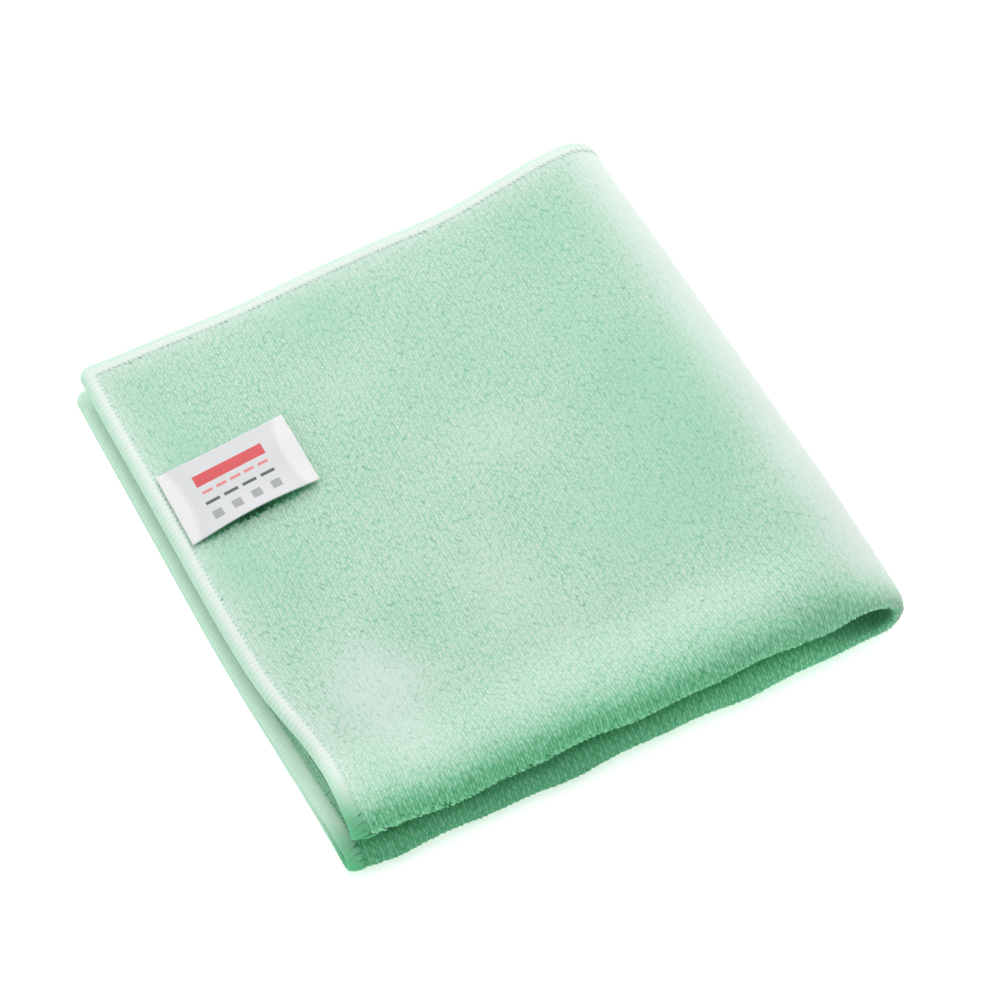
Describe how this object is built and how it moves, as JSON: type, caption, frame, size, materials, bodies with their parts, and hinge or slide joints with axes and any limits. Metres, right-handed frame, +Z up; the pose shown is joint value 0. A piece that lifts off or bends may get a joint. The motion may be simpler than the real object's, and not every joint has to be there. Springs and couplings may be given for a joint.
{
  "type": "microfibre cloth",
  "caption": "Thin, soft cleaning cloth with a short pile and overlocked hems, folded in quarters, with a small blank label sewn beside one hem.",
  "frame": {"origin": "centre of the base of the folded cloth's box, on the surface it lies on", "axes": "+Z up, +Y from the front crease to the back hems, +X from the left hems to the open loop of the second fold"},
  "size_m": [0.1988, 0.2092, 0.0224],
  "materials": {
    "mint_microfibre": "short split-fibre pile, matt",
    "white_satin": "woven satin tape, slight sheen"
  },
  "bodies": {
    "root": {"cloth": "mint_microfibre", "label": "white_satin"}
  },
  "joints": []
}
